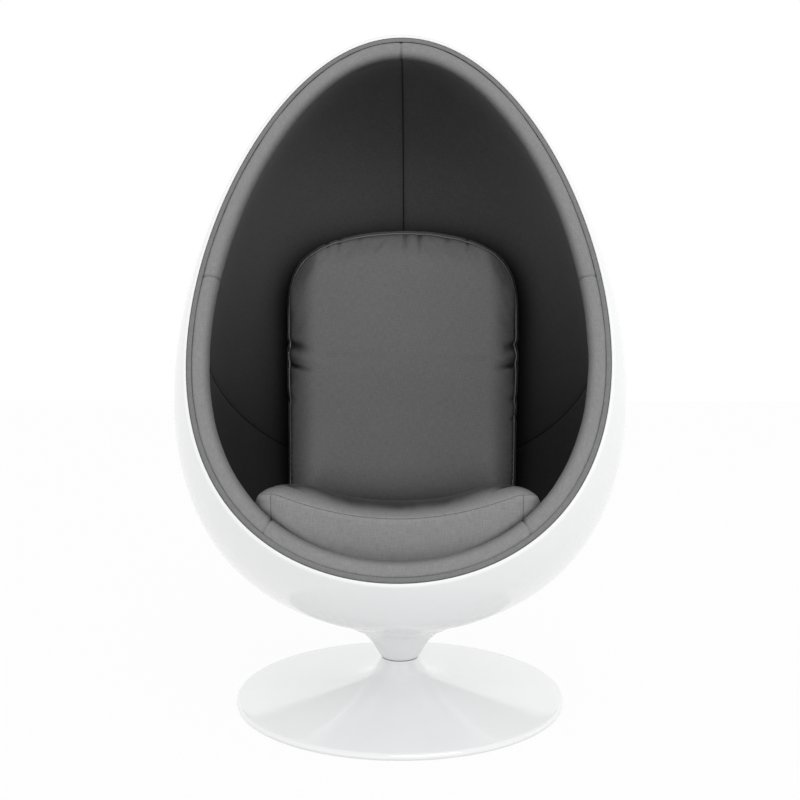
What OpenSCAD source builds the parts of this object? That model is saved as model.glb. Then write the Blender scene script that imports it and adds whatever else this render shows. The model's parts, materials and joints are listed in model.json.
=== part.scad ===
// Pod chair: an egg-shaped swivel shell on a trumpet base, with a padded lining and two loose
// cushions. Millimetres. The origin is on the floor on the swivel axis, the sitter faces -Y.

/* [Egg shell] */
// Greatest radius of the egg
egg_r = 425; // [385:1:465]
// Length of the egg along its own axis
egg_len = 1192; // [1090:2:1290]
// How far the fat end draws the widest section down from the egg's middle
egg_blunt = 136; // [100:1:170]
// Lean of the egg's axis back from upright, in degrees
egg_lean = 19.5; // [15:0.5:24]
// How far the egg's centre lies behind the swivel axis
egg_setback = 60; // [40:1:80]
// Height of the egg's underside above the floor, on the swivel axis
egg_clearance = 136; // [130:1:150]
// Thickness of the moulded shell
shell_t = 6; // [5:0.1:8]

/* [Mouth] */
// Lean of the mouth's plane back from upright, in degrees
mouth_lean = 24.5; // [21:0.5:28]
// Distance of the mouth's plane in front of the egg's centre
mouth_forward = 185; // [165:1:205]

/* [Lining] */
// Thickness of the foam that lines the shell
foam_t = 30; // [27:0.5:36]
// Thickness of the lining fabric
fabric_t = 1.8; // [1.4:0.1:2.4]
// Width of the flat welt strip inside the lip
welt_w = 7; // [6:0.5:10]
// Thickness of the welt strip
welt_t = 4; // [3:0.5:6]
// How far the welt strip stands out of the mouth's plane
welt_proud = 0.8; // [0.5:0.1:2]
// Thickness of the padded edge roll, in from the shell
roll_t = 40; // [36:0.5:46]
// Depth of the padded edge roll, back from the mouth
roll_depth = 40; // [34:1:48]
// Height of the side seams above the egg's centre, along the mouth
side_seam_rise = 6; // [-20:1:30]
// Fall of the side seams towards the back, in degrees
side_seam_fall = 43; // [38:1:50]
// Angle from the bottom of the mouth to each end of the front piece, in degrees
front_piece_angle = 25; // [20:1:30]

/* [Seat cushion] */
// Width of the seat cushion
seat_w = 488; // [450:2:500]
// Distance of the seat cushion's front ahead of the swivel axis
seat_front = 287; // [270:1:289]
// Distance of the seat cushion's rear behind the swivel axis
seat_rear = 272; // [255:1:278]
// Height of the seat's front seam above the floor
seat_h = 400; // [392:1:415]
// Height of the seat cushion's front boxing
seat_box = 110; // [98:1:120]
// Fall of the seat towards the back, in degrees
seat_fall = 10.3; // [8:0.1:12]
// How much the seat's front corners ride up the bowl
seat_dish = 60; // [45:1:66]
// Crown of the seat cushion above its seams
seat_crown = 30; // [22:1:36]
// Least thickness of the foam block under the seat cushion, on the swivel axis
seat_base_t = 20; // [12:1:40]

/* [Back cushion] */
// Width of the back cushion
back_w = 500; // [460:2:516]
// Height of the back cushion's top above the floor
back_top = 928; // [890:2:960]
// Thickness of the back cushion at its edge
back_edge_t = 66; // [55:1:75]
// Thickness of the back cushion at its middle
back_mid_t = 112; // [95:1:125]
// How much the top corners of the back cushion drop below its middle
back_arch = 58; // [40:1:75]

/* [Base] */
// Radius of the trumpet base
base_r = 314; // [290:1:340]
// Height of the swivel seam above the floor
base_h = 78; // [74:0.5:84]
// Radius of the waist at the swivel seam
neck_r = 36; // [34.5:0.5:40]
// Thickness of the base's outer skin
skin_t = 2.5; // [2:0.1:3.5]
// Radius of the rounding round the base's rim
rim_round = 6; // [5:0.5:8]
// Thickness of the steel base plate
plate_t = 6; // [5:0.5:8]
// Thickness of the mat under the base plate
mat_t = 2.5; // [2:0.5:4]

/* [Swivel] */
// Diameter of the spindle
spindle_d = 35; // [32:0.5:37]
// Wall of the steel column
column_wall = 6; // [5:0.5:6.5]
// Diameter of the bearing balls
ball_d = 5.5; // [5:0.25:6]
// Thickness of each bearing race
race_t = 4; // [3.5:0.25:5]
// Length of each bush
bush_len = 15; // [12:1:20]
// Thickness of the seat plate on top of the spindle
seat_plate_t = 8; // [6:0.5:10]
// Radius of the seat plate and of the clamp plate above it
seat_plate_r = 52; // [49:1:55]
// Thickness of the clamp plate inside the shell
clamp_t = 5; // [4:0.5:6]
// Diameter of the bolts between the two plates
bolt_d = 10; // [8:0.5:11]

/* [Hidden] */

// Gap between glued or bolted pieces
gap = 0.3;
// Gap between a soft piece and what it lies against
soft_gap = 0.7;
// Gap at the swivel seam
seam_gap = 1;
// Radial clearance of the spindle in its bushes
run_gap = 0.05;
// Clearance of the balls in their tracks and pockets
ball_gap = 0.1;
// Free space round a part that turns
turn_gap = 1;
// Overrun of the cuts
over = 2*egg_len;

// Facets of the large and of the small round pieces
fine_fn = 96;
small_fn = 48;
// Bands in an egg's profile and stations round a cushion
egg_bands = 56;
cushion_stations = 60;
roll_step = 6;

// A smooth falling share, from one at the middle to none at the edge
function crown_share(share, power) = 1 - pow(share, power);

// Direction of the egg's axis and of the mouth's plane
function leant(p, angle) = [p[0], p[1]*cos(angle) - p[2]*sin(angle), p[1]*sin(angle) + p[2]*cos(angle)];

// Radius of the egg's layer t inside its outer face, at the place s along the axis
function layer_r(s, t) =
    let (l = egg_len - 2*t)
    (egg_r - t)*sqrt(max(0, l*l - 4*s*s)/(l*l + 8*egg_blunt*s + 4*egg_blunt*egg_blunt));

// True where a point, taken from the egg's centre, lies within the layer t
function within(p, t) =
    let (q = leant(p, egg_lean))
    abs(q[2]) < egg_len/2 - t && norm([q[0], q[1]]) < layer_r(q[2], t);

// Distance from p along d at which the layer t is reached, between near and far
function reach(p, d, t, near, far, steps = 24) =
    steps == 0 ? near :
    let (middle = (near + far)/2)
    within(p + middle*d, t) ? reach(p, d, t, middle, far, steps - 1)
                            : reach(p, d, t, near, middle, steps - 1);

// Place of the egg's centre
egg_drop = reach([0, -egg_setback, 0], [0, 0, -1], 0, 0, egg_len);
egg_centre = [0, egg_setback, egg_clearance + egg_drop];

// Height of the layer t below the place x, y and depth of its back wall at x, z
function bowl_z(x, y, t) =
    let (start = [x, y, seat_h + seat_dish])
    start[2] - reach(start - egg_centre, [0, 0, -1], t, 0, egg_len);
function wall_y(x, z, t) =
    let (start = [x, egg_setback, z])
    start[1] + reach(start - egg_centre, [0, 1, 0], t, 0, egg_len);

// Layers of the upholstery, counted in from the shell's outer face
foam_out = shell_t + gap;
foam_in = foam_out + foam_t;
fabric_out = foam_in + gap;
fabric_in = fabric_out + fabric_t;
roll_in = max(shell_t + roll_t, fabric_in);
cushion_out = fabric_in + soft_gap;

function layer_points(t) =
    [for (i = [0:egg_bands]) let (s = (egg_len/2 - t)*sin(180*i/egg_bands - 90)) [layer_r(s, t), s]];

module egg(t) {
    translate(egg_centre) rotate([-egg_lean, 0, 0])
        rotate_extrude($fn = fine_fn) polygon(layer_points(t));
}

// The space from the mouth's plane onwards: back from the depth v, or forward of it
module behind_mouth(v) {
    translate(egg_centre) rotate([-mouth_lean, 0, 0])
        translate([-over, v - mouth_forward, -over]) cube(2*over);
}
module before_mouth(v) {
    translate(egg_centre) rotate([-mouth_lean, 0, 0])
        translate([-over, v - mouth_forward - 2*over, -over]) cube(2*over);
}

// Outline of a thin wall: the path itself and the same path moved in by t
function path_normal(path, i) =
    let (a = path[max(0, i - 1)], b = path[min(len(path) - 1, i + 1)], d = (b - a)/norm(b - a))
    [-d[1], d[0]];
function wall_points(path, t) = concat(
    path,
    [for (i = [len(path) - 1:-1:0]) path[i] + t*path_normal(path, i)]);

// Heights of the base's stack
plate_z = mat_t;
plate_top = plate_z + plate_t;
rim_top = plate_top + gap + skin_t;
plate_r = base_r - rim_round;
seam_low = base_h - seam_gap/2;
seam_high = base_h + seam_gap/2;

// Trumpet skin: a straight flare at the waist and a late sweep out to the rim
flare_straight = neck_r;
flare_power = 5.4;
flare_steps = 26;
function flare_r(share) =
    neck_r + flare_straight*share
    + (base_r - rim_round - neck_r - flare_straight)*pow(share, flare_power);
function flare_z(share) = seam_low - (seam_low - rim_top)*share;
rim_steps = 6;
skin_path = concat(
    [[base_r, plate_z - plate_z/2]],
    [for (i = [0:rim_steps]) let (a = 90*i/rim_steps)
        [base_r - rim_round + rim_round*cos(a), rim_top - rim_round + rim_round*sin(a)]],
    [for (i = [flare_steps - 1:-1:0]) let (share = i/flare_steps) [flare_r(share), flare_z(share)]]);

// Column, bushes and thrust bearing
spindle_r = spindle_d/2;
column_r = neck_r - skin_t - neck_r/10;
bore_r = column_r - column_wall;
track_depth = ball_d/5;
race_gap = ball_d - 2*track_depth;
bearing_top = base_h - seam_gap;
bearing_h = 2*race_t + race_gap;
column_top = bearing_top - bearing_h;
race_out = column_r - race_t/2;
race_in = spindle_r + turn_gap;
ball_pitch_r = (race_out + race_in)/2;
ball_z = column_top + race_t + race_gap/2;
ball_spacing_share = 1.6;
ball_spacing = ball_spacing_share*ball_d;
ball_count = floor(2*PI*ball_pitch_r/ball_spacing);
cage_share = 0.65;
cage_t = cage_share*race_gap;
cage_margin_share = 0.8;
cage_margin = cage_margin_share*turn_gap;

// Retainer under the lower bush, inside the plate's centre hole
retainer_r = bore_r - turn_gap*2.5;
washer_t = plate_t/4;
ring_t = plate_t/4;
groove_r = spindle_r - ring_t;
spindle_end = plate_z + plate_t/8;
washer_z = plate_top - gap - washer_t;
ring_z = washer_z - ring_t;

// Neck of the shell: a cone from the seam that opens wider as it runs into the egg's underside
cone_rise = egg_clearance - seam_high;
cone_share = 0.98;
cone_out = cone_share*neck_r;
sweep_out = neck_r/6;
sweep_power = 4;
neck_top_share = 1.5;
neck_steps = 30;
function neck_out(share) = neck_r + cone_out*share + sweep_out*pow(share, sweep_power);
neck_path = [for (i = [0:neck_steps]) let (share = neck_top_share*i/neck_steps)
    [neck_out(share), seam_high + cone_rise*share]];

// Boss moulded into the shell, between the seat plate and the clamp plate
boss_r = seat_plate_r + shell_t;
boss_low = egg_clearance - 1.7*shell_t;
boss_top = egg_centre[2] - reach([0, -egg_setback - boss_r, 0], [0, 0, -1], shell_t, 0, egg_len);
hub_r = spindle_r + 1.3*shell_t;
seat_plate_z = boss_low - seat_plate_t;
clamp_z = boss_top;
bolt_r = bolt_d/2;
bolt_ring_r = seat_plate_r - 1.25*bolt_d;
bolt_count = 4;
bolt_washer_t = bolt_d/5;
bolt_head_h = bolt_d/2;
bolt_play = bolt_d/40;
washer_r = bolt_d;
head_r = 0.95*bolt_d;

module at_bolts() {
    for (i = [0:bolt_count - 1]) rotate((i + 0.5)*360/bolt_count) translate([bolt_ring_r, 0, 0]) children();
}

module tube(r_out, r_in, z, h, fn = fine_fn) {
    translate([0, 0, z]) difference() {
        cylinder(r = r_out, h = h, $fn = fn);
        translate([0, 0, -h]) cylinder(r = r_in, h = 3*h, $fn = fn);
    }
}

module base_mat() {
    color("dimgray") cylinder(r = plate_r, h = mat_t, $fn = fine_fn);
}

module base_plate() {
    color("slategray") tube(plate_r, retainer_r + turn_gap, plate_z, plate_t);
}

module column_tube() {
    color("slategray") tube(column_r, bore_r, plate_top, column_top - plate_top);
}

// Four welded ribs between the column and the plate
gusset_t = column_wall;
gusset_l = 2*column_r;
gusset_h = (column_top - plate_top)/2;
module column_gussets() {
    color("slategray") for (i = [0:3]) rotate(90*i)
        translate([column_r + gap/3, gusset_t/2, plate_top]) rotate([90, 0, 0])
            linear_extrude(gusset_t)
                polygon([[0, 0], [gusset_l, 0], [gusset_l, gusset_t/2],
                         [gusset_t/2, gusset_h], [0, gusset_h]]);
}

module base_skin() {
    color("white") rotate_extrude($fn = fine_fn) polygon(wall_points(skin_path, skin_t));
}

// Ring that centres the skin's waist on the column
collar_h = bush_len/2;
collar_top = column_top - race_t/2;
collar_share = (seam_low - collar_top)/(seam_low - rim_top);
collar_r = flare_r(collar_share) - 1.3*skin_t;
module skin_collar() {
    color("gainsboro") tube(collar_r, column_r + gap/3, collar_top - collar_h, collar_h);
}

module lower_bush() {
    color("ivory") tube(bore_r - run_gap, spindle_r + run_gap, plate_top, bush_len, small_fn);
}

module upper_bush() {
    color("ivory") tube(bore_r - run_gap, spindle_r + run_gap, column_top - bush_len, bush_len, small_fn);
}

// A bearing race with its ball track
module race(r_in, z) {
    color("silver") difference() {
        tube(race_out, r_in, z, race_t);
        ball_track();
    }
}
module ball_track() {
    translate([0, 0, ball_z]) rotate_extrude($fn = fine_fn)
        translate([ball_pitch_r, 0]) circle(r = ball_d/2 + ball_gap, $fn = small_fn);
}

module lower_race() {
    race(race_in, column_top);
}

module upper_race() {
    race(spindle_r + run_gap, bearing_top - race_t);
}

module ball_cage() {
    color("goldenrod") difference() {
        tube(race_out - cage_margin, race_in + cage_margin, ball_z - cage_t/2, cage_t);
        at_balls() cylinder(r = ball_d/2 + ball_gap, h = 2*cage_t, center = true, $fn = small_fn);
    }
}

module bearing_balls() {
    color("silver") at_balls() sphere(r = ball_d/2, $fn = small_fn);
}

module at_balls() {
    for (i = [0:ball_count - 1]) rotate(360*i/ball_count) translate([ball_pitch_r, 0, ball_z]) children();
}

module spindle() {
    color("silver") rotate_extrude($fn = fine_fn) polygon([
        [0, spindle_end], [spindle_r - washer_t/2, spindle_end], [spindle_r, spindle_end + washer_t/2],
        [spindle_r, ring_z - gap/3], [groove_r, ring_z - gap/3], [groove_r, ring_z + ring_t],
        [spindle_r, ring_z + ring_t], [spindle_r, bearing_top], [hub_r, bearing_top],
        [hub_r, seat_plate_z], [0, seat_plate_z]]);
}

module wear_washer() {
    color("silver") tube(retainer_r, spindle_r + run_gap, washer_z, washer_t, small_fn);
}

// Open spring ring in the spindle's groove
ring_mouth = spindle_r;
module retaining_ring() {
    color("dimgray") difference() {
        tube(retainer_r - ring_t/2, groove_r + run_gap, ring_z, ring_t - gap/3, small_fn);
        translate([0, -ring_mouth/2, ring_z - ring_t]) cube([2*retainer_r, ring_mouth, 3*ring_t]);
    }
}

module seat_plate() {
    color("slategray") difference() {
        translate([0, 0, seat_plate_z]) cylinder(r = seat_plate_r, h = seat_plate_t, $fn = fine_fn);
        translate([0, 0, seat_plate_z]) at_bolts()
            cylinder(r = bolt_r + bolt_play/2, h = 3*seat_plate_t, center = true, $fn = small_fn);
    }
}

// The egg with its mouth cut open, its waist below, and a flat boss inside for the clamp plate
module egg_shell() {
    color("white") difference() {
        union() {
            egg(0);
            rotate_extrude($fn = fine_fn) polygon(concat(
                [[0, seam_high]], neck_path, [[0, seam_high + neck_top_share*cone_rise]]));
        }
        difference() {
            egg(shell_t);
            cylinder(r = boss_r, h = boss_top, $fn = fine_fn);
        }
        neck_hollow();
        before_mouth(0);
        translate([0, 0, boss_low]) at_bolts()
            cylinder(r = bolt_r + bolt_play, h = 2*boss_top, center = true, $fn = small_fn);
    }
}

// Hollow inside the neck, up to the boss
neck_inner = [for (i = [0:neck_steps]) neck_path[i] + shell_t*path_normal(neck_path, i)];
hollow_r = min([for (p = neck_inner) if (p[1] > boss_low) p[0]]);
module neck_hollow() {
    rotate_extrude($fn = fine_fn) polygon(concat(
        [[0, seam_high - shell_t], [neck_r - shell_t, seam_high - shell_t]],
        [for (p = neck_inner) if (p[1] > seam_high && p[1] < boss_low) p],
        [[hollow_r, boss_low], [0, boss_low]]));
}

module clamp_plate() {
    color("slategray") difference() {
        translate([0, 0, clamp_z]) cylinder(r = seat_plate_r, h = clamp_t, $fn = fine_fn);
        translate([0, 0, clamp_z]) at_bolts()
            cylinder(r = bolt_r + bolt_play, h = 3*clamp_t, center = true, $fn = small_fn);
    }
}

module bolt_washers() {
    color("silver") at_bolts()
        tube(washer_r, bolt_r + bolt_play, clamp_z + clamp_t, bolt_washer_t, small_fn);
}

module seat_bolts() {
    color("silver") translate([0, 0, clamp_z + clamp_t + bolt_washer_t]) at_bolts() {
        cylinder(r = head_r, h = bolt_head_h, $fn = 6);
        mirror([0, 0, 1])
            cylinder(r = bolt_r, h = clamp_z + clamp_t + bolt_washer_t - seat_plate_z, $fn = small_fn);
    }
}

// Space on one side of the side seams' plane, which is level across and falls towards the back
module beside_seam(offset) {
    translate(egg_centre) rotate([-mouth_lean, 0, 0])
        translate([0, -mouth_forward, side_seam_rise]) rotate([mouth_lean - side_seam_fall, 0, 0])
            translate([-over, -over, offset]) cube(2*over);
}

// A layer of the lining behind the edge roll, left or right of the middle, over or under the side seams
module lining_quarter(out, in, side, upper) {
    difference() {
        egg(out);
        egg(in);
        before_mouth(roll_depth + gap);
        translate([side > 0 ? gap/2 - 2*over : -gap/2, -over, -over]) cube(2*over);
        if (upper) beside_seam(gap/2 - 2*over);
        if (!upper) beside_seam(-gap/2);
    }
}

module upper_foam(side) {
    color("khaki") lining_quarter(foam_out, foam_in, side, true);
}

// The lower foam leaves a round opening over the clamp plate
module lower_foam(side) {
    color("khaki") difference() {
        lining_quarter(foam_out, foam_in, side, false);
        cylinder(r = boss_r + gap, h = egg_centre[2], $fn = fine_fn);
    }
}

module foam_upper_left() { upper_foam(-1); }
module foam_upper_right() { upper_foam(1); }
module foam_lower_left() { lower_foam(-1); }
module foam_lower_right() { lower_foam(1); }

module lining_panel(side, upper) {
    color("gray") lining_quarter(fabric_out, fabric_in, side, upper);
}

module lining_upper_left() { lining_panel(-1, true); }
module lining_upper_right() { lining_panel(1, true); }
module lining_lower_left() { lining_panel(-1, false); }
module lining_lower_right() { lining_panel(1, false); }

module rim_welt() {
    color("gray") difference() {
        egg(foam_out);
        egg(foam_out + welt_w);
        before_mouth(-welt_proud);
        behind_mouth(welt_t - welt_proud);
    }
}

// A closed skin over rings of points, with a point at each end
module skin(rings, first, last) {
    n = len(rings[0]);
    m = len(rings);
    end = n*m + 1;
    polyhedron(
        points = concat([first], [for (r = rings) each r], [last]),
        faces = concat(
            [for (i = [0:n - 1]) [0, 1 + i, 1 + (i + 1)%n]],
            [for (k = [0:m - 2], i = [0:n - 1])
                let (a = 1 + k*n + i, b = 1 + k*n + (i + 1)%n) each [[a, a + n, b + n], [a, b + n, b]]],
            [for (i = [0:n - 1]) [end, end - n + (i + 1)%n, end - n + i]]));
}

// Section of the edge roll: depths in from the shell's outer face and back from the mouth
roll_welt_in = foam_out + welt_w + 2*gap;
roll_welt_v = welt_t - welt_proud + gap;
roll_crown_in = roll_welt_in + welt_w/2;
roll_round_v = roll_depth/2;
roll_arc_steps = 6;
roll_section = concat(
    [[roll_welt_in, roll_welt_v/2], [roll_welt_in, roll_welt_v], [foam_out + gap, roll_welt_v],
     [foam_out + gap, roll_depth], [(foam_out + foam_in)/2, roll_depth], [foam_in, roll_depth],
     [roll_in - fabric_t/2, (roll_depth + roll_round_v)/2 + fabric_t]],
    [for (i = [0:roll_arc_steps]) let (a = 90*i/roll_arc_steps)
        [roll_crown_in + (roll_in - roll_crown_in)*cos(a), roll_round_v*(1 - sin(a))]]);
roll_core = [(foam_out + roll_in)/2, roll_round_v];

// Place on the mouth at an angle round it, at a depth in from the shell and back from the mouth
function from_mouth(q) = leant(q, -mouth_lean);
function roll_point(angle, in, v) =
    let (p = from_mouth([0, v - mouth_forward, side_seam_rise]),
         d = from_mouth([cos(angle), 0, sin(angle)]))
    egg_centre + p + reach(p, d, in, 0, egg_len)*d;

module roll(from, to) {
    trim = asin(gap/egg_r)/2;
    start = from + trim;
    span = to - from - 2*trim;
    steps = ceil(span/roll_step);
    angles = [for (i = [0:steps]) start + span*i/steps];
    color("gray") skin(
        [for (a = angles) [for (q = roll_section) roll_point(a, q[0], q[1])]],
        roll_point(start, roll_core[0], roll_core[1]),
        roll_point(start + span, roll_core[0], roll_core[1]));
}

module roll_upper_right() { roll(0, 90); }
module roll_upper_left() { roll(90, 180); }
module roll_side_left() { roll(180, 270 - front_piece_angle); }
module roll_front() { roll(270 - front_piece_angle, 270 + front_piece_angle); }
module roll_side_right() { roll(270 + front_piece_angle, 360); }

// Outline shares of a rounded square, at an angle round it
function square_share(angle, power) =
    let (c = cos(angle), s = sin(angle))
    [c, s]*pow(pow(abs(c), power) + pow(abs(s), power), -1/power);

// Seat cushion: heights of its seams, its crowned top and its underside
seat_half = seat_w/2;
seat_mid_y = (seat_rear - seat_front)/2;
seat_half_y = (seat_rear + seat_front)/2;
seat_front_power = 9;
seat_rear_power = 3;
seat_crown_power = 6;
seat_slope = tan(seat_fall);
seat_rear_dish_share = 0.2;
seat_least_share = 0.2;
function seat_dish_at(y) =
    seat_dish*(1 - (1 - seat_rear_dish_share)*(y + seat_front)/(2*seat_half_y));
function seat_seam_z(x, y) =
    seat_h - seat_slope*(y + seat_front) + seat_dish_at(y)*pow(x/seat_half, 2);
seat_base_low_z = bowl_z(0, 0, cushion_out) + seat_base_t + soft_gap;
seat_bed_front_z = max(seat_h - seat_box, seat_base_low_z + seat_slope*seat_front);
function seat_bed_z(y) = seat_bed_front_z - seat_slope*(y + seat_front);

// The seat cushion lies on the edge roll near the mouth and on the lining further back
roll_ramp_share = 2.3;
function behind_mouth_by(p) = leant(p - egg_centre, mouth_lean)[1] + mouth_forward;
function on_roll_share(x, y) =
    let (v = behind_mouth_by([x, y, bowl_z(x, y, cushion_out)]))
    max(0, min(1, roll_ramp_share - v/roll_depth));
function seat_layer(x, y) = cushion_out + (roll_in + soft_gap - cushion_out)*on_roll_share(x, y);
function seat_under_z(x, y) = max(seat_bed_z(y), bowl_z(x, y, seat_layer(x, y)));
function seat_top_z(x, y, share) =
    max(seat_seam_z(x, y) + seat_crown*crown_share(share, seat_crown_power),
        seat_under_z(x, y) + seat_least_share*seat_box);

// Rings of the cushion as [share of the outline, share of the height from underside to top]
seat_top_shares = [0.3, 0.55, 0.75, 0.87, 0.94, 0.98];
seat_side_shares = [[0.99, 1], [1.004, 0.93], [1.012, 0.6], [1.01, 0.3], [0.995, 0.08], [0.975, 0]];
seat_under_shares = [0.8, 0.5, 0.25];
function seat_xy(angle, share) =
    let (q = square_share(angle, sin(angle) > 0 ? seat_rear_power : seat_front_power))
    [seat_half*q[0]*share, seat_mid_y + seat_half_y*q[1]*share];
function seat_ring(share, height_share) = [for (i = [0:cushion_stations - 1])
    let (p = seat_xy(-360*i/cushion_stations, share),
         low = seat_under_z(p[0], p[1]),
         high = seat_top_z(p[0], p[1], min(1, share)))
    [p[0], p[1], low + (high - low)*height_share]];

module seat_cushion() {
    color("gray") skin(
        concat([for (share = seat_top_shares) seat_ring(share, 1)],
               [for (s = seat_side_shares) seat_ring(s[0], s[1])],
               [for (share = seat_under_shares) seat_ring(share, 0)]),
        [0, seat_mid_y, seat_top_z(0, seat_mid_y, 0)],
        [0, seat_mid_y, seat_under_z(0, seat_mid_y)]);
}

// Foam block in the bottom of the bowl that the seat cushion lies on
module seat_base() {
    color("khaki") difference() {
        intersection() {
            egg(cushion_out);
            translate([0, -seat_front, seat_bed_front_z - soft_gap]) rotate([-seat_fall, 0, 0])
                translate([-over, 0, -2*over]) cube(2*over);
            translate([0, 0, seat_bed_front_z - over]) cube(2*over, center = true);
        }
        before_mouth(roll_depth + soft_gap);
    }
}

// Back cushion: it follows the lining's back wall and stands on the seat cushion
back_half = back_w/2;
back_top_power = 6;
back_low_power = 14;
back_crown_power = 3;
back_taper_share = 0.05;
foot_steps = 10;
function seat_rear_share(x, y) =
    pow(pow(abs(x)/seat_half, seat_rear_power) + pow(max(0, y - seat_mid_y)/seat_half_y, seat_rear_power),
        1/seat_rear_power);
function back_foot(x, z, steps = foot_steps) =
    steps == 0 ? z :
    let (y = wall_y(x, z, cushion_out) - back_edge_t)
    back_foot(x, seat_top_z(x, y, min(1, seat_rear_share(x, y))) + soft_gap, steps - 1);
back_mid = (back_top + back_foot(0, seat_h))/2;
function back_xz(angle, share) =
    let (q = square_share(angle, sin(angle) > 0 ? back_top_power : back_low_power),
         x = back_half*q[0]*(q[1] > 0 ? 1 : 1 + back_taper_share*q[1]),
         tall = q[1] > 0 ? back_top - back_mid - back_arch*q[0]*q[0] : back_mid - back_foot(x, seat_h))
    [share*x, back_mid + share*q[1]*tall];
function back_thick(share) =
    back_edge_t + (back_mid_t - back_edge_t)*crown_share(min(1, share), back_crown_power);
function back_ring(share, depth_share) = [for (i = [0:cushion_stations - 1])
    let (p = back_xz(-360*i/cushion_stations, share),
         rear = wall_y(p[0], p[1], cushion_out))
    [p[0], rear - back_thick(share)*depth_share, p[1]]];

// Rings as [share of the outline, share of the thickness in front of the wall]
back_front_shares = [0.3, 0.55, 0.75, 0.88, 0.95];
back_side_shares = [[0.99, 1], [1, 0.9], [1.006, 0.6], [1.004, 0.3], [0.995, 0.08], [0.97, 0]];
back_rear_shares = [0.8, 0.5, 0.25];

module back_cushion() {
    color("gray") skin(
        concat([for (share = back_front_shares) back_ring(share, 1)],
               [for (s = back_side_shares) back_ring(s[0], s[1])],
               [for (share = back_rear_shares) back_ring(share, 0)]),
        [0, wall_y(0, back_mid, cushion_out) - back_mid_t, back_mid],
        [0, wall_y(0, back_mid, cushion_out), back_mid]);
}

base_mat();
base_plate();
column_tube();
column_gussets();
base_skin();
skin_collar();
lower_bush();
upper_bush();
lower_race();
ball_cage();
bearing_balls();
upper_race();
spindle();
wear_washer();
retaining_ring();
seat_plate();
egg_shell();
clamp_plate();
bolt_washers();
seat_bolts();
foam_upper_left();
foam_upper_right();
foam_lower_left();
foam_lower_right();
lining_upper_left();
lining_upper_right();
lining_lower_left();
lining_lower_right();
rim_welt();
roll_upper_left();
roll_upper_right();
roll_side_left();
roll_side_right();
roll_front();
seat_base();
seat_cushion();
back_cushion();
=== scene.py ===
import json
import math

import bmesh
import bpy
import numpy as np
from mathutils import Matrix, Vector, noise
from mathutils.bvhtree import BVHTree
from mathutils.kdtree import KDTree


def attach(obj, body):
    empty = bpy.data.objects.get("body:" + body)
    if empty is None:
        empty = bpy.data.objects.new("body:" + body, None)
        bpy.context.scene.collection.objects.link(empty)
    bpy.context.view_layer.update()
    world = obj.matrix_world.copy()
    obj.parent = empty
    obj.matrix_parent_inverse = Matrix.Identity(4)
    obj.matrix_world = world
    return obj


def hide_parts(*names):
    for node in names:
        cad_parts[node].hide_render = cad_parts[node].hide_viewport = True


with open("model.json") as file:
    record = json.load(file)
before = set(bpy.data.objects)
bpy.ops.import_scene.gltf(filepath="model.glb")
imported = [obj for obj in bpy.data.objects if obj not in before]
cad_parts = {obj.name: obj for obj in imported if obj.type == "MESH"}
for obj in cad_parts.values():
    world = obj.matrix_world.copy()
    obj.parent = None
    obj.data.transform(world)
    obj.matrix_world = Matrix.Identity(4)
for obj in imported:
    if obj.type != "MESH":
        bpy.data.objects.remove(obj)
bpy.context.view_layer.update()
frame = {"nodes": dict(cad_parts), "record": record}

# The egg, the same as in the CAD source, in metres and radians
EGG_R = 0.425
EGG_LEN = 1.192
EGG_BLUNT = 0.136
EGG_LEAN = math.radians(19.5)
EGG_SETBACK = 0.060
EGG_CLEARANCE = 0.136
SHELL_T = 0.006
MOUTH_LEAN = math.radians(24.5)
MOUTH_FORWARD = 0.185

# Upholstery on the egg
FABRIC_IN = 0.0384
ROLL_IN = 0.0475
ROLL_LIT_IN = 0.027
ROLL_SHADE = 0.52
ROLL_DEPTH = 0.040
ROLL_ROUND = 0.022
WELT_OUT = 0.0064
WELT_W = 0.0068
WELT_T = 0.004
WELT_PROUD = 0.0008
SIDE_SEAM_RISE = 0.006
SIDE_SEAM_FALL = math.radians(43)
FRONT_PIECE_ANGLE = math.radians(25)

# Base and waist
BASE_R = 0.314
NECK_R = 0.036
SKIN_T = 0.0025
RIM_ROUND = 0.006
SEAM_LOW = 0.0775
SEAM_HIGH = 0.0785
SKIN_FOOT = 0.00125

# Cushions
SEAT_HALF = 0.244
SEAT_FRONT = 0.287
SEAT_REAR = 0.272
SEAT_H = 0.400
SEAT_BOX = 0.110
SEAT_FALL = math.radians(10.3)
SEAT_DISH = 0.060
SEAT_REAR_DISH_SHARE = 0.2
SEAT_CROWN = 0.030
BACK_HALF = 0.250
BACK_TOP = 0.928
BACK_EDGE_T = 0.066
BACK_MID_T = 0.112
BACK_ARCH = 0.058
BACK_TAPER_SHARE = 0.05
SOFT_GAP = 0.0007

# Colours, linear
GELCOAT = (0.86, 0.864, 0.87)
# The base's gel coat is GELCOAT made a little lighter: painted light.
GELCOAT_BASE_LIT = (0.88, 0.885, 0.89)
CLOTH = (0.235, 0.235, 0.238)
CLOTH_WELT = (0.19, 0.19, 0.192)
CLOTH_SHADE = (0.012, 0.012, 0.012)
# The back cushion's cloth is CLOTH made a little darker: painted shade.
CLOTH_BACK_SHADED = (0.215, 0.211, 0.213)
FOAM = (0.62, 0.55, 0.33)


# Egg geometry

def stacked(x, y, z):
    x, y, z = np.broadcast_arrays(x, y, z)
    return np.stack([x, y, z], -1).astype(float)


def leant(p, angle):
    """Points turned about the axis that runs from side to side."""
    c, s = math.cos(angle), math.sin(angle)
    return np.stack([p[..., 0], p[..., 1]*c - p[..., 2]*s, p[..., 1]*s + p[..., 2]*c], -1)


def layer_r(s, t):
    """Radius of the egg's layer t inside its outer face, at the place s along its axis."""
    length = EGG_LEN - 2*t
    share = np.maximum(0, length*length - 4*s*s)/(length*length + 8*EGG_BLUNT*s + 4*EGG_BLUNT**2)
    return (EGG_R - t)*np.sqrt(share)


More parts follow.
